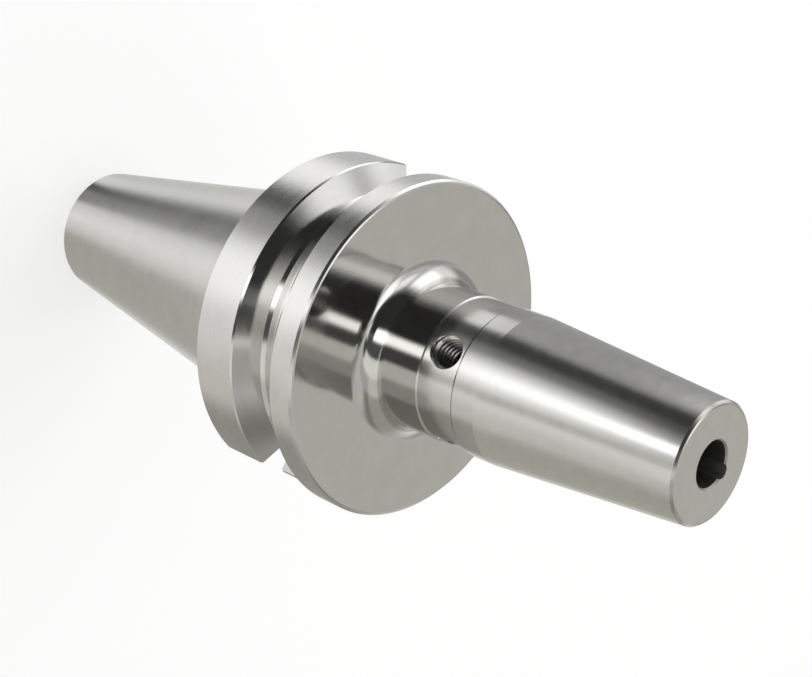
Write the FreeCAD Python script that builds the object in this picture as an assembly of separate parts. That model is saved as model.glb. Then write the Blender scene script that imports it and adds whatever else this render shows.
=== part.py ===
import FreeCAD, Part

import math
import os

# Shrink fit tool holder with a steep spindle taper, in millimetres.
# The origin is on the axis at the gauge line, where the taper has its stated diameter.
# +Z runs along the axis from the spindle end to the nose.

# Spindle taper, behind the gauge line
gauge_dia = 44.45
taper_ratio = 7 / 24
taper_length = 65.4
taper_end_bevel = 0.6

# Relief between the taper and the flange
flange_gap = 2.0
relief_depth = 0.4

# Flange, with the V groove that the tool changer's gripper holds
flange_dia = 63.0
flange_width = 25.0
flange_rear_bevel = 0.5
flange_front_bevel = 0.9
groove_centre = 16.6
groove_mouth = 10.0
groove_depth = 5.0
groove_angle = 60.0
groove_edge_bevel = 0.4

# Two drive slots, milled through the rear rim into the V groove
slot_count = 2
slot_width = 16.1
slot_floor = 22.5
slot_end = 21.0

# Neck, band with the balancing threads, collar and cone
projection_length = 90.0
neck_dia = 27.0
neck_fillet = 4.0
neck_end = 39.0
band_dia = 26.5
band_end = 47.1
collar_dia = 27.0
nose_dia = 21.0
cone_angle = 4.5
nose_bevel = 0.6

# Balancing threads, cut across the band
balance_count = 4
balance_dia = 6.0
balance_drill_dia = 5.0
balance_thread_depth = 6.5
balance_drill_extra = 1.0
balance_sink_dia = 6.6

# Tool bore, with one coolant groove along its wall
bore_dia = 8.0
bore_depth = 36.0
bore_chamfer = 0.3
coolant_groove_radius = 1.3
coolant_groove_reach = 5.1

# Hollow stop screw in its thread behind the tool bore
screw_dia = 6.0
screw_length = 14.0
screw_chamfer = 0.6
screw_setback = 0.5
screw_clearance = 0.05
screw_thread_length = 18.0
screw_hole_dia = 2.5
socket_width = 3.0
socket_depth = 3.0

# Coolant bore through the body
coolant_dia = 5.0

# Pilot and thread for the pull stud, in the small end of the taper
stud_pilot_dia = 17.0
stud_pilot_depth = 5.0
stud_pilot_chamfer = 1.0
stud_thread_dia = 16.0
stud_thread_end = 30.0
stud_drill_dia = 14.0
stud_drill_end = 43.0

drill_point_angle = 118.0
cut_margin = 1.0

# Places worked out from the sizes above
rear_end = -taper_length
flange_front = flange_gap + flange_width
bore_bottom = projection_length - bore_depth
screw_thread_bottom = bore_bottom - screw_thread_length
balance_height = (neck_end + band_end) / 2

AXIS = FreeCAD.Vector(0, 0, 1)
ORIGIN = FreeCAD.Vector(0, 0, 0)


def drill_point(radius):
    """Length of a drill's point over a change of radius."""
    return radius / math.tan(math.radians(drill_point_angle / 2))


def corner(radius, height, rounding=0, bevel=0):
    """One corner of a turned outline: sharp, rounded by a radius, or bevelled by a length on each side."""
    return FreeCAD.Vector(radius, 0, height), rounding, bevel


def corner_points(before, here, after, rounding, bevel):
    """Start, middle and end of a corner's arc or bevel, limited by the runs beside it."""
    if rounding == 0 and bevel == 0:
        return here, here, here
    back = before - here
    on = after - here
    limit = 0.45 * min(back.Length, on.Length)
    back.normalize()
    on.normalize()
    if bevel > 0:
        start = here + back * min(bevel, limit)
        end = here + on * min(bevel, limit)
        return start, here, end
    half_angle = back.getAngle(on) / 2
    tangent = min(rounding / math.tan(half_angle), limit)
    radius = tangent * math.tan(half_angle)
    inward = back + on
    inward.normalize()
    middle = here + inward * (radius / math.sin(half_angle) - radius)
    return here + back * tangent, middle, here + on * tangent


def turned(corners):
    """Solid turned about Z from the corners of its outline."""
    joints = []
    for index, (here, rounding, bevel) in enumerate(corners):
        before = corners[index - 1][0]
        after = corners[(index + 1) % len(corners)][0]
        joints.append(corner_points(before, here, after, rounding, bevel))
    edges = []
    for index, (start, middle, end) in enumerate(joints):
        edges.append(Part.LineSegment(joints[index - 1][2], start).toShape())
        if corners[index][1] > 0:
            edges.append(Part.Arc(start, middle, end).toShape())
        elif corners[index][2] > 0:
            edges.append(Part.LineSegment(start, end).toShape())
    outline = Part.Wire(edges)
    return Part.Face(outline).revolve(ORIGIN, AXIS, 360)


def body_blank():
    """Outer form of the holder, before its holes and slots."""
    gauge_radius = gauge_dia / 2
    end_radius = gauge_radius - taper_length * taper_ratio / 2
    relief_radius = gauge_radius - relief_depth
    flange_radius = flange_dia / 2
    groove_radius = flange_radius - groove_depth
    mouth_half = groove_mouth / 2
    bottom_half = mouth_half - groove_depth * math.tan(math.radians(groove_angle / 2))
    neck_radius = neck_dia / 2
    band_radius = band_dia / 2
    collar_radius = collar_dia / 2
    nose_radius = nose_dia / 2
    cone_start = projection_length - (collar_radius - nose_radius) / math.tan(math.radians(cone_angle))
    return turned([
        corner(0, rear_end),
        corner(end_radius, rear_end, bevel=taper_end_bevel),
        corner(gauge_radius, 0),
        corner(relief_radius, relief_depth),
        corner(relief_radius, flange_gap),
        corner(flange_radius, flange_gap, bevel=flange_rear_bevel),
        corner(flange_radius, groove_centre - mouth_half, bevel=groove_edge_bevel),
        corner(groove_radius, groove_centre - bottom_half),
        corner(groove_radius, groove_centre + bottom_half),
        corner(flange_radius, groove_centre + mouth_half, bevel=groove_edge_bevel),
        corner(flange_radius, flange_front, bevel=flange_front_bevel),
        corner(neck_radius, flange_front, rounding=neck_fillet),
        corner(neck_radius, neck_end - (neck_radius - band_radius)),
        corner(band_radius, neck_end),
        corner(band_radius, band_end),
        corner(collar_radius, band_end),
        corner(collar_radius, cone_start),
        corner(nose_radius, projection_length, bevel=nose_bevel),
        corner(0, projection_length),
    ])


def through_bore():
    """Everything that is bored along the axis, from the pull stud's pilot to the nose."""
    pilot_radius = stud_pilot_dia / 2
    thread_radius = stud_thread_dia / 2
    drill_radius = stud_drill_dia / 2
    coolant_radius = coolant_dia / 2
    screw_hole_radius = screw_dia / 2 + screw_clearance
    tool_radius = bore_dia / 2
    pilot_end = rear_end + stud_pilot_depth
    thread_end = rear_end + stud_thread_end
    drill_end = rear_end + stud_drill_end
    drill_tip = drill_end + drill_point(drill_radius - coolant_radius)
    screw_hole_start = screw_thread_bottom - drill_point(screw_hole_radius - coolant_radius)
    return turned([
        corner(0, rear_end - cut_margin),
        corner(pilot_radius + stud_pilot_chamfer + cut_margin, rear_end - cut_margin),
        corner(pilot_radius, rear_end + stud_pilot_chamfer),
        corner(pilot_radius, pilot_end),
        corner(thread_radius, pilot_end + pilot_radius - thread_radius),
        corner(thread_radius, thread_end),
        corner(drill_radius, thread_end + thread_radius - drill_radius),
        corner(drill_radius, drill_end),
        corner(coolant_radius, drill_tip),
        corner(coolant_radius, screw_hole_start),
        corner(screw_hole_radius, screw_thread_bottom),
        corner(screw_hole_radius, bore_bottom - drill_point(tool_radius - screw_hole_radius)),
        corner(tool_radius, bore_bottom),
        corner(tool_radius, projection_length - bore_chamfer),
        corner(tool_radius + bore_chamfer + cut_margin, projection_length + cut_margin),
        corner(0, projection_length + cut_margin),
    ])


def coolant_groove():
    """Round-bottomed groove along the tool bore, on the +Y side."""
    centre = FreeCAD.Vector(0, coolant_groove_reach - coolant_groove_radius, bore_bottom)
    return Part.makeCylinder(coolant_groove_radius, bore_depth + cut_margin, centre, AXIS)


def drive_slot():
    """Cutter for the drive slot on the +X side: straight through the rear rim, with a full-radius end."""
    half_width = slot_width / 2
    end_centre = slot_end - half_width
    start = flange_gap - cut_margin
    reach = flange_dia / 2 + cut_margin - slot_floor
    corner = FreeCAD.Vector(slot_floor, -half_width, start)
    straight = Part.makeBox(reach, slot_width, end_centre - start, corner)
    end_point = FreeCAD.Vector(slot_floor, 0, end_centre)
    rounded_end = Part.makeCylinder(half_width, reach, end_point, FreeCAD.Vector(1, 0, 0))
    return straight.fuse(rounded_end)


def balance_hole():
    """Cutter for the balancing thread on the +X side, drilled in from the band."""
    surface = band_dia / 2
    thread_radius = balance_dia / 2
    drill_radius = balance_drill_dia / 2
    sink = (balance_sink_dia - balance_dia) / 2
    thread_bottom = surface - balance_thread_depth
    drill_bottom = thread_bottom - balance_drill_extra
    cutter = turned([
        corner(0, drill_bottom - drill_point(drill_radius)),
        corner(drill_radius, drill_bottom),
        corner(drill_radius, thread_bottom - thread_radius + drill_radius),
        corner(thread_radius, thread_bottom),
        corner(thread_radius, surface - sink),
        corner(thread_radius + sink + cut_margin, surface + cut_margin),
        corner(0, surface + cut_margin),
    ])
    cutter.rotate(ORIGIN, FreeCAD.Vector(0, 1, 0), 90)
    cutter.translate(FreeCAD.Vector(0, 0, balance_height))
    return cutter


def around_axis(cutter, count):
    """Copies of a cutter, evenly spaced about the axis."""
    copies = []
    for index in range(count):
        copy = cutter.copy()
        copy.rotate(ORIGIN, AXIS, 360 * index / count)
        copies.append(copy)
    return copies


def holder_body():
    """The holder's one-piece steel body."""
    cutters = [through_bore(), coolant_groove()]
    cutters += around_axis(drive_slot(), slot_count)
    cutters += around_axis(balance_hole(), balance_count)
    return body_blank().cut(cutters)


def stop_screw():
    """Hollow length-setting screw, screwed fully back, with a hexagon socket in its rear end."""
    front = bore_bottom - screw_setback
    rear = front - screw_length
    radius = screw_dia / 2
    blank = turned([
        corner(0, rear),
        corner(radius - screw_chamfer, rear),
        corner(radius, rear + screw_chamfer),
        corner(radius, front - screw_chamfer),
        corner(radius - screw_chamfer, front),
        corner(0, front),
    ])
    through_hole = Part.makeCylinder(screw_hole_dia / 2, screw_length, FreeCAD.Vector(0, 0, rear), AXIS)
    socket_radius = socket_width / 2 / math.cos(math.radians(30))
    hexagon = []
    for index in range(7):
        angle = math.radians(60 * index)
        hexagon.append(FreeCAD.Vector(socket_radius * math.cos(angle), socket_radius * math.sin(angle), rear))
    socket = Part.Face(Part.makePolygon(hexagon)).extrude(AXIS * socket_depth)
    return blank.cut([through_hole, socket])


nodes = {
    "holder_body": holder_body(),
    "stop_screw": stop_screw(),
}

os.makedirs("parts", exist_ok=True)
for name, shape in nodes.items():
    shape.exportStep("parts/" + name + ".step")
    print(name, shape.isValid(), len(shape.Solids), round(shape.Volume, 1))
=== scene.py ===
import math

import bpy
from mathutils import Matrix, Vector


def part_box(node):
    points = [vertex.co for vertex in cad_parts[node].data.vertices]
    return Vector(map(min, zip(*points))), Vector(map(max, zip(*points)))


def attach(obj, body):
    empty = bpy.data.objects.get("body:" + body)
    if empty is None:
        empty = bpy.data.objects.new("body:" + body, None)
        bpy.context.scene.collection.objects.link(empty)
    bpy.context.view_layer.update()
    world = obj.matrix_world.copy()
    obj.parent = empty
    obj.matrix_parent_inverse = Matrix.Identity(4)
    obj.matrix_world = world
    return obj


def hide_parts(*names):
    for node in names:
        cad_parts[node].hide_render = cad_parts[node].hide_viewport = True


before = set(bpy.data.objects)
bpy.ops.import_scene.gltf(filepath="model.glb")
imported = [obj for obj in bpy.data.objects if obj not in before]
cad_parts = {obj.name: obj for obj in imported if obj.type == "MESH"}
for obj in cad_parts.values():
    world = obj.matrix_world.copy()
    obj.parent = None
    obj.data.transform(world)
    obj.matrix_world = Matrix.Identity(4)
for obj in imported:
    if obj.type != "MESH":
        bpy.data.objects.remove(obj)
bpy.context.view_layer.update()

# The holder's sizes in millimetres. Its axis is Z, with the gauge line at zero and the nose at the top.
MM = 0.001
body_low, body_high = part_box("holder_body")
REAR_END = body_low.z / MM
NOSE_END = body_high.z / MM
FLANGE_RADIUS = body_high.y / MM
GAUGE_RADIUS = 22.225
TAPER_RATIO = 7 / 24
TAPER_END_BEVEL = 0.6
FLANGE_BACK = 2.0
FLANGE_FRONT = 27.0
RELIEF_DEPTH = 0.4
RELIEF_CORNER = 0.3
FLANGE_REAR_BEVEL = 0.5
GROOVE_CENTRE = 16.6
GROOVE_MOUTH = 10.0
GROOVE_DEPTH = 5.0
GROOVE_FLANK_ANGLE = 30.0
GROOVE_EDGE_BEVEL = 0.25
GROOVE_CORNER = 0.5
NECK_RADIUS = 13.5
NECK_FILLET = 4.0
NECK_END = 39.0
BAND_RADIUS = 13.25
BAND_END = 47.1
NECK_STEP = NECK_RADIUS - BAND_RADIUS
COLLAR_RADIUS = 13.5
COLLAR_EDGE = 0.08
COLLAR_RELIEF_WIDTH = 0.4
COLLAR_RELIEF_DEPTH = 0.15
NOSE_RADIUS = 10.5
CONE_ANGLE = 4.5

# The worn front edges of the flange and the nose
FRONT_BEVEL = 0.4
FRONT_BLEND_RUN = 0.3
FRONT_BLEND_RISE = 0.11
FRONT_EDGE_HEIGHT = FRONT_BEVEL + FRONT_BLEND_RISE
FRONT_EDGE_WIDTH = FRONT_BEVEL + FRONT_BLEND_RUN

# The drive slots, on the +X and -X sides
SLOT_COUNT = 2
SLOT_WIDTH = 16.1
SLOT_FLOOR = 22.5
SLOT_END = 21.0
SLOT_EDGE_BREAK = 0.3

# The four balancing threads, M6
BALANCE_COUNT = 4
BALANCE_HEIGHT = (NECK_END + BAND_END) / 2
BALANCE_RADIUS = 3.0
BALANCE_PITCH = 1.0
BALANCE_THREAD_DEPTH = 6.5
BALANCE_DRILL_DEPTH = 7.5
BALANCE_DRILL_RADIUS = 2.5
BALANCE_SINK_RADIUS = 3.35
BALANCE_ENTRY_RADIUS = 3.08
BALANCE_ENTRY_DEPTH = 0.8
BALANCE_ENTRY_CONE = 0.35

# The pull stud's pilot and M16 thread
STUD_RADIUS = 8.0
STUD_PITCH = 2.0
STUD_PILOT_RADIUS = 8.5
STUD_PILOT_DEPTH = 5.0
STUD_PILOT_CHAMFER = 1.0
STUD_THREAD_END = 30.0
STUD_DRILL_RADIUS = 7.0
STUD_DRILL_END = 43.0

# The tool bore and its coolant groove, the coolant bore, and the stop screw behind the tool bore
BORE_RADIUS = 4.0
BORE_DEPTH = 36.0
BORE_CHAMFER = 0.3
COOLANT_GROOVE_RADIUS = 1.3
COOLANT_GROOVE_REACH = 5.1
COOLANT_RADIUS = 2.5
SCREW_HOLE_RADIUS = 3.05
SCREW_HOLE_LENGTH = 18.0
SCREW_RADIUS = 3.0
SCREW_CHAMFER = 0.6
SCREW_COOLANT_RADIUS = 1.25
SOCKET_WIDTH = 3.0
SOCKET_DEPTH = 3.0

# Half the angle of a drill's point, in degrees, and the slope of the cone that it leaves
DRILL_HALF_ANGLE = 59.0
POINT_SLOPE = math.tan(math.radians(DRILL_HALF_ANGLE))

# A thread's depth as a share of its pitch, and its crest and flank as shares of half its pitch
THREAD_DEPTH = 0.61
THREAD_CREST = 0.12
THREAD_FLANK = 0.7

# Fineness of the meshes
TURN_STEPS = 256
FINE_STEPS = 96
SMALL_STEPS = 48
HEXAGON = 6
ARC_STEP = math.radians(2.5)
SMOOTH_ANGLE = math.radians(3.2)
THREAD_ROWS = 10
CUT_MARGIN = 1.0
MERGE_DISTANCE = 1e-7


def alone(obj):
    """Selects one object and makes it the active one."""
    bpy.ops.object.select_all(action="DESELECT")
    obj.select_set(True)
    bpy.context.view_layer.objects.active = obj


def combine(obj, other, operation):
    """Takes another object's space out of the object, or keeps only that space, and removes the other."""
    modifier = obj.modifiers.new("combine", "BOOLEAN")
    modifier.operation = operation
    modifier.solver = "MANIFOLD"
    modifier.object = other
    alone(obj)
    bpy.ops.object.modifier_apply(modifier=modifier.name)
    bpy.data.objects.remove(other)


def cut(obj, cutter):
    combine(obj, cutter, "DIFFERENCE")


def close_up(obj):
    """Merges the doubles of a spun or extruded shape and turns its faces outwards."""
    alone(obj)
    bpy.ops.object.mode_set(mode="EDIT")
    bpy.ops.mesh.select_all(action="SELECT")
    bpy.ops.mesh.remove_doubles(threshold=MERGE_DISTANCE)
    bpy.ops.mesh.normals_make_consistent(inside=False)
    bpy.ops.mesh.select_all(action="DESELECT")
    bpy.ops.object.mode_set(mode="OBJECT")


def arc_points(centre, radius, start, end):
    """Points of an arc in the outline's plane, as (radius, height), the angles in radians."""
    count = round(abs(end - start) / ARC_STEP)
    points = []
    for index in range(count + 1):
        angle = start + (end - start) * index / count
        points.append((centre[0] + radius * math.cos(angle), centre[1] + radius * math.sin(angle)))
    return points


def bevelled(outline):
    """Outline points with each corner's bevel cut in: (radius, height) or (radius, height, bevel)."""
    points = []
    for index, corner in enumerate(outline):
        here = Vector(corner[:2])
        if len(corner) == 2:
            points.append(here)
            continue
        for neighbour in (outline[index - 1], outline[(index + 1) % len(outline)]):
            run = Vector(neighbour[:2]) - here
            points.append(here + run.normalized() * corner[2])
    return points


def worn_edge(radius, height):
    """Outline points of a front edge: a 45 degree bevel that runs out flatter on to the face."""
    return [
        (radius, height - FRONT_EDGE_HEIGHT),
        (radius - FRONT_BEVEL, height - FRONT_BLEND_RISE),
        (radius - FRONT_EDGE_WIDTH, height),
    ]


def drawn(name, points):
    """A new mesh in edit mode, all selected: (radius, height) points joined one by one with extrude."""
    bpy.ops.object.select_all(action="DESELECT")
    bpy.ops.mesh.primitive_plane_add(size=MM)
    obj = bpy.context.object
    obj.name = obj.data.name = name
    bpy.ops.object.mode_set(mode="EDIT")
    bpy.ops.mesh.select_all(action="SELECT")
    bpy.ops.mesh.merge(type="CENTER")
    bpy.ops.transform.translate(value=(points[0].x * MM, 0, points[0].y * MM))
    for before, here in zip(points, points[1:]):
        step = (here - before) * MM
        bpy.ops.mesh.extrude_vertices_move(TRANSFORM_OT_translate={"value": (step.x, 0, step.y)})
    bpy.ops.mesh.select_all(action="SELECT")
    return obj


def turned(name, outline, steps=TURN_STEPS):
    """Solid turned about Z from its outline."""
    obj = drawn(name, bevelled(outline))
    bpy.ops.mesh.spin(
        steps=steps, angle=2 * math.pi, center=(0, 0, 0), axis=(0, 0, 1), use_auto_merge=True)
    bpy.ops.object.mode_set(mode="OBJECT")
    close_up(obj)
    return obj


def threaded_rod(name, radius, pitch, bottom, length, steps=SMALL_STEPS):
    """Rod along Z with a 60 degree V thread: rings of points whose radius follows the helix."""
    rows = round(length / pitch * THREAD_ROWS)
    bpy.ops.object.select_all(action="DESELECT")
    bpy.ops.mesh.primitive_circle_add(
        vertices=steps, radius=radius * MM, fill_type="NGON", location=(0, 0, bottom * MM))
    rod = bpy.context.object
    rod.name = rod.data.name = name
    bpy.ops.object.transform_apply()
    bpy.ops.object.mode_set(mode="EDIT")
    bpy.ops.mesh.select_all(action="SELECT")
    for _ in range(rows):
        bpy.ops.mesh.extrude_region_move(TRANSFORM_OT_translate={"value": (0, 0, length / rows * MM)})
    bpy.ops.object.mode_set(mode="OBJECT")
    for vertex in rod.data.vertices:
        point = vertex.co
        turn = math.atan2(point.y, point.x) / (2 * math.pi)
        phase = (point.z / MM / pitch - turn) % 1
        sunk = min(1, max(0, (abs(2 * phase - 1) - THREAD_CREST) / THREAD_FLANK))
        scale = 1 - sunk * THREAD_DEPTH * pitch / radius
        point.x *= scale
        point.y *= scale
    close_up(rod)
    return rod


def straight_cutter(sides, radius, bottom, depth, off_axis=0.0):
    """Round or hexagonal cutter along Z, standing on its bottom height and set off the axis along +Y."""
    bpy.ops.object.select_all(action="DESELECT")
    bpy.ops.mesh.primitive_cylinder_add(
        vertices=sides, radius=radius * MM, depth=depth * MM,
        location=(0, off_axis * MM, (bottom + depth / 2) * MM))
    cutter = bpy.context.object
    bpy.ops.object.transform_apply()
    return cutter


def outside_outline():
    """The outline from the rear end's flat ring, up the outside, to the rim of the nose face."""
    end_radius = GAUGE_RADIUS + REAR_END * TAPER_RATIO / 2
    relief_radius = GAUGE_RADIUS - RELIEF_DEPTH
    groove_radius = FLANGE_RADIUS - GROOVE_DEPTH
    mouth = GROOVE_MOUTH / 2
    bottom = mouth - GROOVE_DEPTH * math.tan(math.radians(GROOVE_FLANK_ANGLE))
    cone_start = NOSE_END - (COLLAR_RADIUS - NOSE_RADIUS) / math.tan(math.radians(CONE_ANGLE))
    fillet_centre = (NECK_RADIUS + NECK_FILLET, FLANGE_FRONT + NECK_FILLET)
    outline = [
        (STUD_PILOT_RADIUS + STUD_PILOT_CHAMFER, REAR_END),
        (end_radius, REAR_END, TAPER_END_BEVEL),
        (GAUGE_RADIUS, 0),
        (relief_radius, RELIEF_DEPTH),
        (relief_radius, FLANGE_BACK, RELIEF_CORNER),
        (FLANGE_RADIUS, FLANGE_BACK, FLANGE_REAR_BEVEL),
        (FLANGE_RADIUS, GROOVE_CENTRE - mouth, GROOVE_EDGE_BEVEL),
        (groove_radius, GROOVE_CENTRE - bottom, GROOVE_CORNER),
        (groove_radius, GROOVE_CENTRE + bottom, GROOVE_CORNER),
        (FLANGE_RADIUS, GROOVE_CENTRE + mouth, GROOVE_EDGE_BEVEL),
    ]
    outline += worn_edge(FLANGE_RADIUS, FLANGE_FRONT)
    outline += arc_points(fillet_centre, NECK_FILLET, math.radians(270), math.radians(180))
    outline += [
        (NECK_RADIUS, NECK_END - NECK_STEP),
        (BAND_RADIUS, NECK_END),
        (BAND_RADIUS, BAND_END - COLLAR_RELIEF_WIDTH),
        (BAND_RADIUS - COLLAR_RELIEF_DEPTH, BAND_END - COLLAR_RELIEF_WIDTH),
        (BAND_RADIUS - COLLAR_RELIEF_DEPTH, BAND_END),
        (COLLAR_RADIUS, BAND_END, COLLAR_EDGE),
        (COLLAR_RADIUS, cone_start),
    ]
    return outline + worn_edge(NOSE_RADIUS, NOSE_END)


def bore_outline():
    """The outline from the mouth of the tool bore down to the pull stud's pilot."""
    bore_bottom = NOSE_END - BORE_DEPTH
    thread_bottom = bore_bottom - SCREW_HOLE_LENGTH
    pilot_end = REAR_END + STUD_PILOT_DEPTH
    drill_end = REAR_END + STUD_DRILL_END
    return [
        (BORE_RADIUS + BORE_CHAMFER, NOSE_END),
        (BORE_RADIUS, NOSE_END - BORE_CHAMFER),
        (BORE_RADIUS, bore_bottom),
        (SCREW_HOLE_RADIUS, bore_bottom - (BORE_RADIUS - SCREW_HOLE_RADIUS) / POINT_SLOPE),
        (SCREW_HOLE_RADIUS, thread_bottom),
        (COOLANT_RADIUS, thread_bottom - (SCREW_HOLE_RADIUS - COOLANT_RADIUS) / POINT_SLOPE),
        (COOLANT_RADIUS, drill_end + (STUD_DRILL_RADIUS - COOLANT_RADIUS) / POINT_SLOPE),
        (STUD_DRILL_RADIUS, drill_end),
        (STUD_DRILL_RADIUS, pilot_end + STUD_PILOT_RADIUS - STUD_DRILL_RADIUS),
        (STUD_PILOT_RADIUS, pilot_end),
        (STUD_PILOT_RADIUS, REAR_END + STUD_PILOT_CHAMFER),
        (STUD_PILOT_RADIUS + STUD_PILOT_CHAMFER, REAR_END),
    ]


def slot_cutter():
    """Cutter for the +X drive slot: its end is a half round, and its rim edges are broken."""
    half = SLOT_WIDTH / 2
    start = FLANGE_BACK - CUT_MARGIN
    end_centre = SLOT_END - half
    chord = math.sqrt(FLANGE_RADIUS ** 2 - half ** 2) - SLOT_EDGE_BREAK
    outside = FLANGE_RADIUS + CUT_MARGIN
    bpy.ops.object.select_all(action="DESELECT")
    bpy.ops.mesh.primitive_circle_add(
        vertices=FINE_STEPS, radius=half * MM, fill_type="NGON", rotation=(0, math.pi / 2, 0))
    cutter = bpy.context.object
    bpy.ops.object.transform_apply()
    for vertex in cutter.data.vertices:
        below = vertex.co.z < -MERGE_DISTANCE
        vertex.co.x = SLOT_FLOOR * MM
        vertex.co.z = start * MM if below else vertex.co.z + end_centre * MM
    bpy.ops.object.mode_set(mode="EDIT")
    bpy.ops.mesh.select_all(action="SELECT")
    bpy.ops.mesh.remove_doubles(threshold=MERGE_DISTANCE)
    bpy.ops.mesh.extrude_region_move(TRANSFORM_OT_translate={"value": ((chord - SLOT_FLOOR) * MM, 0, 0)})
    bpy.ops.mesh.extrude_region_move(TRANSFORM_OT_translate={"value": ((outside - chord) * MM, 0, 0)})
    widened = 1 + (outside - chord) / half
    bpy.ops.transform.resize(value=(1, widened, 1), center_override=(0, 0, end_centre * MM))
    bpy.ops.object.mode_set(mode="OBJECT")
    close_up(cutter)
    return cutter


def turned_about_z(obj, angle):
    obj.data.transform(Matrix.Rotation(angle, 4, "Z"))
    return obj


def towards_x(obj):
    """Lays a cutter made along Z down so that its top points along +X at the balancing holes' height."""
    lift = Matrix.Translation((0, 0, BALANCE_HEIGHT * MM))
    obj.data.transform(lift @ Matrix.Rotation(math.pi / 2, 4, "Y"))
    return obj


def balance_drill():
    """Drilled core and countersink of one balancing hole."""
    bottom = BAND_RADIUS - BALANCE_DRILL_DEPTH
    sink = BALANCE_SINK_RADIUS - BALANCE_ENTRY_RADIUS
    entry = BAND_RADIUS - BALANCE_ENTRY_DEPTH
    return towards_x(turned("balance_drill", [
        (0, bottom - BALANCE_DRILL_RADIUS / POINT_SLOPE),
        (BALANCE_DRILL_RADIUS, bottom),
        (BALANCE_DRILL_RADIUS, entry - BALANCE_ENTRY_CONE),
        (BALANCE_ENTRY_RADIUS, entry),
        (BALANCE_ENTRY_RADIUS, BAND_RADIUS - sink),
        (BALANCE_SINK_RADIUS, BAND_RADIUS),
        (BALANCE_SINK_RADIUS + CUT_MARGIN, BAND_RADIUS + CUT_MARGIN),
        (0, BAND_RADIUS + CUT_MARGIN),
    ], steps=SMALL_STEPS))


def balance_thread():
    """The thread of one balancing hole, as the rod that cuts it."""
    bottom = BAND_RADIUS - BALANCE_THREAD_DEPTH
    length = BALANCE_THREAD_DEPTH + CUT_MARGIN
    return towards_x(threaded_rod("balance_thread", BALANCE_RADIUS, BALANCE_PITCH, bottom, length))


def stud_thread():
    """The pull stud's thread, as the rod that cuts it, from inside the pilot upwards."""
    bottom = REAR_END + STUD_PILOT_DEPTH - STUD_PITCH
    length = REAR_END + STUD_THREAD_END - bottom
    return threaded_rod("stud_thread", STUD_RADIUS, STUD_PITCH, bottom, length, steps=FINE_STEPS)


def coolant_groove():
    """Cutter for the coolant groove along the +Y side of the tool bore."""
    off_axis = COOLANT_GROOVE_REACH - COOLANT_GROOVE_RADIUS
    return straight_cutter(
        SMALL_STEPS, COOLANT_GROOVE_RADIUS, NOSE_END - BORE_DEPTH, BORE_DEPTH + CUT_MARGIN, off_axis)


def make_holder():
    """The holder's body: turned, then slotted, drilled, threaded and grooved."""
    body = turned("holder", outside_outline() + bore_outline())
    for index in range(SLOT_COUNT):
        cut(body, turned_about_z(slot_cutter(), 2 * math.pi * index / SLOT_COUNT))
    for index in range(BALANCE_COUNT):
        angle = 2 * math.pi * index / BALANCE_COUNT
        cut(body, turned_about_z(balance_drill(), angle))
        cut(body, turned_about_z(balance_thread(), angle))
    cut(body, stud_thread())
    cut(body, coolant_groove())
    return body


def make_stop_screw():
    """The hollow stop screw: a threaded rod with bevelled ends, a coolant hole and a hexagon socket."""
    low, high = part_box("stop_screw")
    rear = low.z / MM
    front = high.z / MM
    screw_length = front - rear
    rod = threaded_rod("stop_screw_threaded", SCREW_RADIUS, BALANCE_PITCH, rear, screw_length)
    blank = turned("screw_blank", [
        (0, rear),
        (SCREW_RADIUS, rear, SCREW_CHAMFER),
        (SCREW_RADIUS, front, SCREW_CHAMFER),
        (0, front),
    ], steps=FINE_STEPS)
    combine(rod, blank, "INTERSECT")
    socket_radius = SOCKET_WIDTH / 2 / math.cos(math.pi / HEXAGON)
    hole_start = rear - CUT_MARGIN
    cut(rod, straight_cutter(SMALL_STEPS, SCREW_COOLANT_RADIUS, hole_start, screw_length + 2 * CUT_MARGIN))
    cut(rod, straight_cutter(HEXAGON, socket_radius, hole_start, SOCKET_DEPTH + CUT_MARGIN))
    return rod


def finish_mesh(obj):
    """Smooth shading with every real edge kept sharp."""
    alone(obj)
    bpy.ops.object.shade_smooth_by_angle(angle=SMOOTH_ANGLE)


# The steel's finishes. Marks are counted in lines to a metre across, and as a stretch round the axis.
STEEL = (0.62, 0.615, 0.595)
# Painted shade: the body's steel darkened for the coolant groove inside the bore, kept lighter than the
# bore's walls as painted light on the groove's wall.
GROOVE_SHADE_STEEL = (0.42, 0.415, 0.4)
# Painted shade: the body's steel darkened for the shade inside the bores, holes and threads.
HOLE_SHADE_STEEL = (0.3, 0.295, 0.28)
BLACK_OXIDE = (0.1, 0.1, 0.11)
MARKS_AROUND = 3
PATCHES_AROUND = 4.5
MARKS_IN_A_PATCH = 12
GLOSS_SPREAD = 0.1
TINT_SPREAD = 0.03
NOISE_LOW = 0.3
NOISE_HIGH = 0.7
NOISE_DETAIL = 3
NOISE_ROUGHNESS = 0.6
ROUND_THE_AXIS = 0.25


def link_math(tree, operation, first, second):
    """A math node: each input is a number or another node's output."""
    node = tree.nodes.new("ShaderNodeMath")
    node.operation = operation
    for socket, value in zip(node.inputs, (first, second)):
        if isinstance(value, (int, float)):
            socket.default_value = value
        else:
            tree.links.new(value, socket)
    return node.outputs[0]


def link_vector(tree, operation, vector):
    """A vector math node on one vector."""
    node = tree.nodes.new("ShaderNodeVectorMath")
    node.operation = operation
    tree.links.new(vector, node.inputs[0])
    return node


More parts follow.
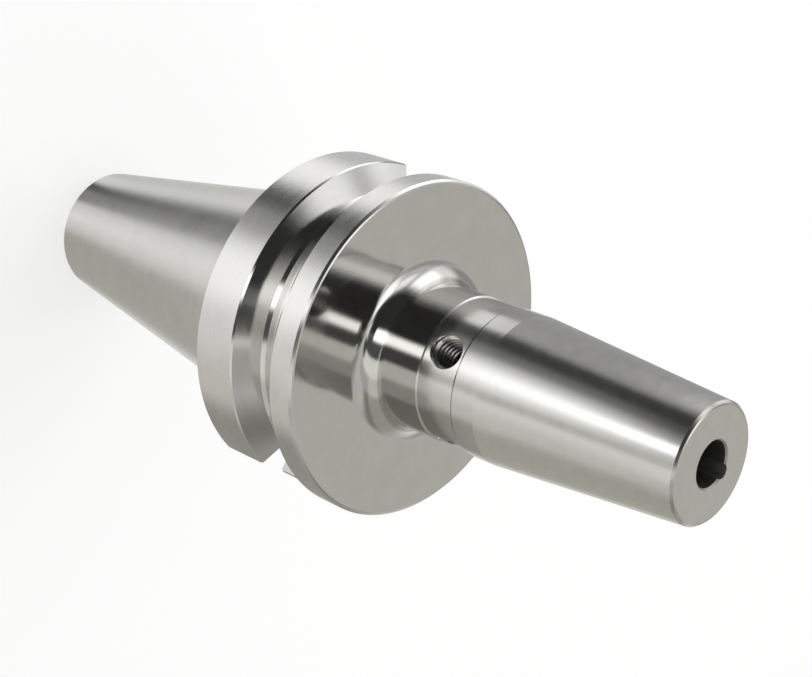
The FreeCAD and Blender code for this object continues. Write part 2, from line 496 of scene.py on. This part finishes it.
def tool_marks(tree, across, around):
    """Noise drawn out into lines round the holder's axis."""
    place = tree.nodes.new("ShaderNodeTexCoord").outputs["Object"]
    parts = tree.nodes.new("ShaderNodeSeparateXYZ")
    tree.links.new(place, parts.inputs[0])
    flat = link_vector(tree, "MULTIPLY", place)
    flat.inputs[1].default_value = (1, 1, 0)
    radius = link_vector(tree, "LENGTH", flat.outputs["Vector"])
    unit = link_vector(tree, "NORMALIZE", flat.outputs["Vector"])
    turn = tree.nodes.new("ShaderNodeSeparateXYZ")
    tree.links.new(unit.outputs["Vector"], turn.inputs[0])
    along = link_math(tree, "SUBTRACT", parts.outputs["Z"], radius.outputs["Value"])
    lines = tree.nodes.new("ShaderNodeCombineXYZ")
    tree.links.new(link_math(tree, "MULTIPLY", turn.outputs["X"], around), lines.inputs["X"])
    tree.links.new(link_math(tree, "MULTIPLY", turn.outputs["Y"], around), lines.inputs["Y"])
    tree.links.new(link_math(tree, "MULTIPLY", along, across), lines.inputs["Z"])
    noise = tree.nodes.new("ShaderNodeTexNoise")
    noise.inputs["Scale"].default_value = 1
    noise.inputs["Detail"].default_value = NOISE_DETAIL
    noise.inputs["Roughness"].default_value = NOISE_ROUGHNESS
    tree.links.new(lines.outputs["Vector"], noise.inputs["Vector"])
    return noise.outputs["Fac"]


def ranged(tree, value, low, high):
    """A noise value brought to the range from low to high."""
    node = tree.nodes.new("ShaderNodeMapRange")
    node.inputs["From Min"].default_value = NOISE_LOW
    node.inputs["From Max"].default_value = NOISE_HIGH
    node.inputs["To Min"].default_value = low
    node.inputs["To Max"].default_value = high
    tree.links.new(value, node.inputs["Value"])
    return node.outputs["Result"]


def steel(name, colour, roughness, across=6000, depth=0.0, lay=0.0):
    """Steel with tool marks round the axis, and broader patches of gloss and tint.

    depth is how deep the marks are in millimetres, and lay how far they stretch the gloss."""
    material = bpy.data.materials.new(name)
    material.use_nodes = True
    tree = material.node_tree
    shader = tree.nodes["Principled BSDF"]
    shader.inputs["Metallic"].default_value = 1
    shader.inputs["Anisotropic"].default_value = lay
    shader.inputs["Anisotropic Rotation"].default_value = ROUND_THE_AXIS
    patches = tool_marks(tree, across / MARKS_IN_A_PATCH, PATCHES_AROUND)
    gloss = ranged(tree, patches, roughness * (1 - GLOSS_SPREAD), roughness * (1 + GLOSS_SPREAD))
    tree.links.new(gloss, shader.inputs["Roughness"])
    tint = tree.nodes.new("ShaderNodeMix")
    tint.data_type = "RGBA"
    tint.inputs["A"].default_value = (*[channel * (1 - TINT_SPREAD) for channel in colour], 1)
    tint.inputs["B"].default_value = (*[channel * (1 + TINT_SPREAD) for channel in colour], 1)
    tree.links.new(ranged(tree, patches, 0, 1), tint.inputs["Factor"])
    tree.links.new(tint.outputs["Result"], shader.inputs["Base Color"])
    if lay:
        tangent = tree.nodes.new("ShaderNodeTangent")
        tangent.direction_type = "RADIAL"
        tangent.axis = "Z"
        tree.links.new(tangent.outputs["Tangent"], shader.inputs["Tangent"])
    if depth:
        bump = tree.nodes.new("ShaderNodeBump")
        bump.inputs["Strength"].default_value = 1
        bump.inputs["Distance"].default_value = depth * MM
        tree.links.new(tool_marks(tree, across, MARKS_AROUND), bump.inputs["Height"])
        tree.links.new(bump.outputs["Normal"], shader.inputs["Normal"])
    return material


FINISHES = (
    steel("taper_ground", STEEL, 0.3, lay=0.3),
    steel("turned", STEEL, 0.25, depth=0.0008, across=4000),
    steel("rim_turned", STEEL, 0.27, depth=0.0008, across=5000),
    steel("groove_turned", STEEL, 0.11, depth=0.0003),
    steel("flange_polished", STEEL, 0.095, depth=0.00012, across=2500),
    steel("bevel_bright", STEEL, 0.2),
    steel("band_turned", STEEL, 0.17, depth=0.0005),
    steel("cone_ground", STEEL, 0.2, depth=0.0004, lay=0.3),
    steel("nose_face_ground", STEEL, 0.2, depth=0.0003),
    steel("milled", STEEL, 0.25, depth=0.001, across=3000),
    # Painted shade: the bores' walls and the threads get the steel darkened for the shade inside the holes.
    steel("bored_painted_shade", HOLE_SHADE_STEEL, 0.38, depth=0.0005),
    # Painted shade with some painted light: the coolant groove's steel is darkened, but less than the bore's.
    steel("groove_broached_painted_shade", GROOVE_SHADE_STEEL, 0.42, depth=0.0005),
    steel("thread_cut_painted_shade", HOLE_SHADE_STEEL, 0.28),
)

# A face of the body is told by its place, within these reaches in millimetres,
# and by how far it faces out from the axis, from -1 to 1
REACH = 0.02
WALL_REACH = 0.1
BAND_REACH = 0.2
TAPER_REACH = 0.4
FACES_INWARD = -0.2
FACES_OUTWARD = 0.6
FACES_STRAIGHT_OUT = 0.95


def finish_of(face):
    """The finish of one face of the body."""
    x, y, z = face.center / MM
    radius = math.hypot(x, y)
    facing_out = (face.normal.x * x + face.normal.y * y) / radius
    if z < REAR_END + REACH:
        return "turned"
    in_the_stud_bore = radius < STUD_PILOT_RADIUS + STUD_PILOT_CHAMFER and z < BAND_END
    # Painted shade: the stud bore's walls, and the hole walls below, get the darkened steel.
    if in_the_stud_bore and facing_out < FACES_INWARD:
        return "bored_painted_shade"
    if z < 0:
        taper_radius = GAUGE_RADIUS + z * TAPER_RATIO / 2
        return "taper_ground" if radius > taper_radius - TAPER_REACH else "thread_cut_painted_shade"
    if z < FLANGE_BACK + REACH:
        return "turned"
    between_slot_walls = abs(y) < SLOT_WIDTH / 2 + SLOT_EDGE_BREAK and z < SLOT_END
    if between_slot_walls and abs(x) > SLOT_FLOOR - WALL_REACH and radius < FLANGE_RADIUS - REACH:
        return "milled"
    if z < FLANGE_FRONT - FRONT_EDGE_HEIGHT + REACH:
        on_rim = radius > FLANGE_RADIUS - REACH and facing_out > FACES_STRAIGHT_OUT
        return "rim_turned" if on_rim else "groove_turned"
    if radius > FLANGE_RADIUS - FRONT_EDGE_WIDTH + REACH:
        return "bevel_bright"
    if z < NECK_END - NECK_STEP:
        return "flange_polished" if radius > NECK_RADIUS - WALL_REACH else "thread_cut_painted_shade"
    if z < BAND_END + REACH:
        if radius > BAND_RADIUS - BAND_REACH and facing_out > FACES_OUTWARD:
            return "band_turned"
        return "turned" if radius > BAND_RADIUS - BALANCE_ENTRY_DEPTH - WALL_REACH else "thread_cut_painted_shade"
    if z > NOSE_END - REACH:
        return "nose_face_ground"
    if z > NOSE_END - FRONT_EDGE_HEIGHT + REACH and radius > BORE_RADIUS + BORE_CHAMFER:
        return "bevel_bright"
    if facing_out > 0:
        return "cone_ground"
    # Painted shade inside the tool bore: darkened steel, a little lighter in the coolant groove as painted
    # light on its wall.
    return "groove_broached_painted_shade" if radius > BORE_RADIUS + REACH else "bored_painted_shade"


def lay_on_finishes(obj):
    names = [finish.name for finish in FINISHES]
    obj.data.materials.clear()
    for finish in FINISHES:
        obj.data.materials.append(finish)
    for face in obj.data.polygons:
        face.material_index = names.index(finish_of(face))


holder = make_holder()
finish_mesh(holder)
lay_on_finishes(holder)
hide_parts("holder_body")
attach(holder, "holder")

screw = make_stop_screw()
finish_mesh(screw)
screw.data.materials.clear()
screw.data.materials.append(steel("screw_blackened", BLACK_OXIDE, 0.35, depth=0.0005))
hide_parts("stop_screw")
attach(screw, "stop_screw")

# The studio: a pale floor, a pale world, one large lamp, and cards that only the steel's gloss sees.
# The floor's size and the lamp's sizes are in metres, and the cards' sizes in millimetres and degrees.
FLOOR_SIZE = 6
FLOOR_ALBEDO = 0.5
FLOOR_GLOW = 0.6
LAMP_SIZE = (0.5, 0.4)
LAMP_POWER = 1.0
LAMP_DISTANCE = 0.65
LAMP_AZIMUTH = math.radians(150)
LAMP_ELEVATION = math.radians(50)
WORLD_COLOUR = (1, 1, 0.99, 1)
WORLD_HORIZON = 1.0
WORLD_TOP = 0.62
WORLD_FADE_HEIGHT = 0.5
WARM_GREEN_LOSS = 0.02
WARM_BLUE_LOSS = 0.15
CARD_LIFT = 0.1
CARD_STEP = 0.15
CARD_ROW = 8.0
FOOT_RADIUS = 12.0
TENT_RADIUS = 420.0
TENT_STEP = 2.0
TENT_ROW = 3.0
TENT_CENTRE = REAR_END + 95.0
CAMERA_AZIMUTH = 276.6
SIGHTS_TURNED_OFF = (
    "visible_camera",
    "visible_diffuse",
    "visible_transmission",
    "visible_shadow",
    "visible_volume_scatter",
)


def seen_directly(tree):
    """1 for the rays that see the floor straight, in a reflection or through glass, 0 for the rest."""
    path = tree.nodes.new("ShaderNodeLightPath")
    total = link_math(tree, "ADD", path.outputs["Is Camera Ray"], path.outputs["Is Glossy Ray"])
    total = link_math(tree, "ADD", total, path.outputs["Is Transmission Ray"])
    return link_math(tree, "MINIMUM", total, 1.0)


def make_floor():
    bpy.ops.object.select_all(action="DESELECT")
    bpy.ops.mesh.primitive_plane_add(size=FLOOR_SIZE, location=(0, 0, body_low.z))
    floor = bpy.context.object
    floor.name = "floor"
    bpy.ops.object.transform_apply()
    material = bpy.data.materials.new("floor_white")
    material.use_nodes = True
    tree = material.node_tree
    shader = tree.nodes["Principled BSDF"]
    shader.inputs["Base Color"].default_value = (FLOOR_ALBEDO, FLOOR_ALBEDO, FLOOR_ALBEDO, 1)
    shader.inputs["Roughness"].default_value = 1
    shader.inputs["Specular IOR Level"].default_value = 0
    shader.inputs["Emission Color"].default_value = (1, 1, 1, 1)
    glow = link_math(tree, "MULTIPLY", seen_directly(tree), FLOOR_GLOW)
    tree.links.new(glow, shader.inputs["Emission Strength"])
    floor.data.materials.append(material)


def eased(value):
    """0 below zero, 1 above one, and a smooth rise between them."""
    value = min(1, max(0, value))
    return value * value * (3 - 2 * value)


def cover(place, low, high, soft):
    """How far a place is inside the range from low to high, from 0 to 1, with soft ends."""
    return eased((place - low) / soft + 0.5) * eased((high - place) / soft + 0.5)


def card_glow(name, strength, warmth):
    """A card's own light, let through where its cover attribute is below 1. warmth runs from 0 to 1."""
    material = bpy.data.materials.new(name)
    material.use_nodes = True
    tree = material.node_tree
    tree.nodes.remove(tree.nodes["Principled BSDF"])
    glow = tree.nodes.new("ShaderNodeEmission")
    glow.inputs["Strength"].default_value = strength
    glow.inputs["Color"].default_value = (1, 1 - WARM_GREEN_LOSS * warmth, 1 - WARM_BLUE_LOSS * warmth, 1)
    clear = tree.nodes.new("ShaderNodeBsdfTransparent")
    solidity = tree.nodes.new("ShaderNodeAttribute")
    solidity.attribute_name = "cover"
    blend = tree.nodes.new("ShaderNodeMixShader")
    tree.links.new(solidity.outputs["Fac"], blend.inputs["Fac"])
    tree.links.new(clear.outputs[0], blend.inputs[1])
    tree.links.new(glow.outputs[0], blend.inputs[2])
    tree.links.new(blend.outputs[0], tree.nodes["Material Output"].inputs["Surface"])
    return material


def studio_card(name, start, end, run, strength, warmth):
    """A card spun about Z between two azimuths, from a run of (radius, height) points."""
    card = drawn(name, [Vector(point) for point in run])
    bpy.ops.mesh.spin(
        steps=round(end - start), angle=math.radians(start - end), center=(0, 0, 0), axis=(0, 0, 1))
    bpy.ops.object.mode_set(mode="OBJECT")
    card.data.transform(Matrix.Rotation(math.radians(start), 4, "Z"))
    card.data.materials.append(card_glow(name, strength, warmth))
    for sight in SIGHTS_TURNED_OFF:
        setattr(card, sight, False)
    return card


def azimuth_of(point, start):
    """Azimuth of a card's point in degrees, counted on from the card's own start."""
    angle = math.degrees(math.atan2(point.y, point.x))
    while angle < start - 1:
        angle += 360
    return angle


def set_cover(card, covers):
    attribute = card.data.attributes.new("cover", "FLOAT", "POINT")
    attribute.data.foreach_set("value", covers)


def wall_card(layer, name, azimuths, elevations, strength, soft, warmth=0.0):
    """A card on the round wall of the tent. All of its numbers but its strength and warmth are in degrees."""
    side_soft, top_soft = soft
    start = azimuths[0] - side_soft / 2
    end = azimuths[1] + side_soft / 2
    low = elevations[0] - top_soft / 2
    high = elevations[1] + top_soft / 2
    radius = TENT_RADIUS - TENT_STEP * layer
    count = round((high - low) / TENT_ROW)
    run = []
    for index in range(count + 1):
        angle = math.radians(low + (high - low) * index / count)
        run.append((radius * math.cos(angle), TENT_CENTRE + radius * math.sin(angle)))
    card = studio_card(name, start, end, run, strength, warmth)
    covers = []
    for vertex in card.data.vertices:
        point = vertex.co / MM
        elevation = math.degrees(math.atan2(point.z - TENT_CENTRE, math.hypot(point.x, point.y)))
        across = cover(azimuth_of(point, start), *azimuths, side_soft)
        covers.append(across * cover(elevation, *elevations, top_soft))
    set_cover(card, covers)


def floor_card(layer, name, sides, reach, strength, soft, warmth=0.0):
    """A card that lies just above the floor and leads away from the holder's foot.

    sides are two azimuths on the holder, in degrees: the card fans out the way that the camera's view
    glances off the steel between them, so that its mirror image runs straight along the holder.
    reach is how far from the foot it begins and ends, in millimetres. One that begins at 0 has no soft
    end there."""
    side_soft, reach_soft = soft
    start = sides[0] - side_soft / 2
    end = sides[1] + side_soft / 2
    near = max(0, reach[0] - reach_soft / 2)
    far = reach[1] + reach_soft / 2
    begins = reach[0] if reach[0] > 0 else -reach_soft
    height = REAR_END + CARD_LIFT + CARD_STEP * layer
    count = round((far - near) / CARD_ROW)
    run = [(FOOT_RADIUS + near + (far - near) * index / count, height) for index in range(count + 1)]
    card = studio_card(name, start, end, run, strength, warmth)
    covers = []
    for vertex in card.data.vertices:
        point = vertex.co / MM
        side = azimuth_of(point, start)
        distance = math.hypot(point.x, point.y) - FOOT_RADIUS
        covers.append(cover(side, *sides, side_soft) * cover(distance, begins, reach[1], reach_soft))
        outward = math.radians(side)
        glance = math.radians(2 * side - CAMERA_AZIMUTH)
        vertex.co.x = (FOOT_RADIUS * math.cos(outward) + distance * math.cos(glance)) * MM
        vertex.co.y = (FOOT_RADIUS * math.sin(outward) + distance * math.sin(glance)) * MM
    set_cover(card, covers)


# Each floor card: name, sides, reach, strength, softness of its sides and ends, and warmth
FLOOR_CARDS = (
    ("grey_left_foot", (205, 224), (0, 62), 0.68, (8, 20)),
    ("grey_right_foot", (290, 340), (0, 62), 0.52, (10, 20), 0.7),
    ("dim_flag_foot", (238.5, 262), (0, 62), 0.32, (8, 16)),
    ("dark_flag_foot", (240, 249), (0, 62), 0.13, (6, 16)),
    ("strip_foot", (271.5, 280), (0, 62), 1.08, (12, 16)),
    ("grey_left_near", (202, 222), (62, 128), 0.62, (7, 20)),
    ("grey_left_middle", (197, 224), (128, 172), 0.34, (6, 20)),
    ("grey_left_far", (193, 243), (168, 420), 0.39, (6, 30)),
    ("white_left_near", (226, 240), (66, 134), 1.4, (7, 20)),
    ("pale_right", (300, 330), (62, 420), 0.74, (12, 20), 0.5),
    ("grey_right_near", (318, 352), (62, 128), 0.34, (8, 20), 0.7),
    ("grey_right_middle", (314, 352), (128, 175), 0.33, (10, 20), 0.8),
    ("grey_right_far", (314, 352), (170, 420), 0.5, (10, 30), 0.8),
    ("pale_back_far", (352, 376), (128, 420), 0.66, (8, 30), 0.5),
    ("dim_flag_near", (245, 263), (62, 128), 0.4, (10, 16)),
    ("dark_flag_near", (242, 252), (62, 128), 0.06, (5, 16)),
    ("dim_flag_far", (250, 264), (128, 420), 0.22, (10, 16)),
    ("dark_flag_far", (241.5, 255), (128, 420), 0.05, (6, 16)),
    ("dim_line_far", (287, 293), (128, 420), 0.6, (4, 16), 0.4),
    ("strip_near", (266, 284), (62, 128), 1.45, (10, 16)),
    ("strip_far", (271, 281), (128, 420), 1.75, (10, 16)),
)

# Each wall card: name, azimuths, elevations, strength, softness of its sides and its top, and warmth
WALL_CARDS = (
    ("grey_back_wall", (76, 136), (-4, 27), 0.36, (14, 12), 0.3),
    ("sweep_back_wall", (56, 120), (32, 62), 0.6, (14, 10), 0.6),
    ("grey_left_wall", (118, 146), (32, 60), 0.42, (10, 10)),
    ("white_left_wall", (138, 200), (-22, 32), 1.05, (20, 12)),
    ("white_left_low", (157, 200), (-12, 26), 1.8, (16, 12)),
    ("softbox_left_top", (120, 200), (58, 82), 1.6, (20, 12)),
    ("pale_left_wall", (140, 200), (36, 58), 0.66, (16, 8)),
    ("softbox_left_low", (166, 200), (38, 58), 1.25, (18, 10)),
    ("grey_right_wall", (354, 424), (-22, 30), 0.42, (24, 10), 0.8),
    ("grey_right_high", (354, 424), (30, 46), 0.26, (24, 12), 0.8),
    ("pale_right_wall", (309, 360), (-22, 30), 0.68, (10, 10), 0.5),
    ("pale_right_high", (309, 360), (30, 68), 0.5, (10, 10), 0.5),
    ("white_right_wall", (309, 334), (-22, 68), 0.94, (10, 8), 0.4),
    ("dark_flag_left_wall", (200, 288), (-22, 78), 0.03, (32, 8)),
    ("dark_flag_right_wall", (284, 308), (-6, 70), 0.09, (5, 8)),
    ("dark_flag_right_top", (298, 328), (62, 80), 0.07, (8, 10)),
    ("top_panel", (250, 296), (76, 88), 1.0, (10, 8)),
    ("strip_softbox_wall", (270, 285), (-22, 45.5), 2.4, (9, 5)),
)


def make_cards():
    for layer, settings in enumerate(FLOOR_CARDS):
        floor_card(layer, *settings)
    for layer, settings in enumerate(WALL_CARDS):
        wall_card(layer, *settings)


def make_lamp():
    light = bpy.data.lights.new("key_lamp", "AREA")
    light.shape = "RECTANGLE"
    light.size, light.size_y = LAMP_SIZE
    light.energy = LAMP_POWER
    lamp = bpy.data.objects.new("key_lamp", light)
    bpy.context.scene.collection.objects.link(lamp)
    direction = Vector((math.cos(LAMP_AZIMUTH), math.sin(LAMP_AZIMUTH), math.tan(LAMP_ELEVATION)))
    direction.normalize()
    lamp.location = direction * LAMP_DISTANCE
    lamp.rotation_euler = (-direction).to_track_quat("-Z", "Y").to_euler()
    lamp.visible_glossy = False


def make_world():
    """A pale backdrop: white at the horizon, easing to light grey higher up."""
    world = bpy.data.worlds.new("studio")
    bpy.context.scene.world = world
    world.use_nodes = True
    tree = world.node_tree
    place = tree.nodes.new("ShaderNodeTexCoord")
    parts = tree.nodes.new("ShaderNodeSeparateXYZ")
    tree.links.new(place.outputs["Generated"], parts.inputs[0])
    fade = tree.nodes.new("ShaderNodeMapRange")
    fade.interpolation_type = "SMOOTHSTEP"
    fade.inputs["From Min"].default_value = 0
    fade.inputs["From Max"].default_value = WORLD_FADE_HEIGHT
    fade.inputs["To Min"].default_value = WORLD_HORIZON
    fade.inputs["To Max"].default_value = WORLD_TOP
    tree.links.new(parts.outputs["Z"], fade.inputs["Value"])
    background = tree.nodes["Background"]
    tree.links.new(fade.outputs["Result"], background.inputs["Strength"])
    background.inputs["Color"].default_value = WORLD_COLOUR


make_floor()
make_cards()
make_lamp()
make_world()

# The camera, at the photograph's viewing angle. Its lens and sensor are in millimetres.
CAMERA_PLACE = Vector((26.25, -227.02, 213.76))
CAMERA_AIM = Vector((-1.205, -0.146, 22.87))
CAMERA_ROLL = math.radians(111.08)
CAMERA_LENS = 72.58
CAMERA_SENSOR = 36
CAMERA_CLIP_START = 0.01
camera_data = bpy.data.cameras.new("camera")
camera_data.lens = CAMERA_LENS
camera_data.sensor_width = CAMERA_SENSOR
camera_data.clip_start = CAMERA_CLIP_START
camera = bpy.data.objects.new("camera", camera_data)
bpy.context.scene.collection.objects.link(camera)
camera.location = CAMERA_PLACE * MM
looking = (CAMERA_AIM - CAMERA_PLACE).to_track_quat("-Z", "Y")
camera.rotation_euler = (looking.to_matrix() @ Matrix.Rotation(CAMERA_ROLL, 3, "Z")).to_euler()
bpy.context.scene.camera = camera

bpy.context.scene.view_settings.view_transform = "Standard"
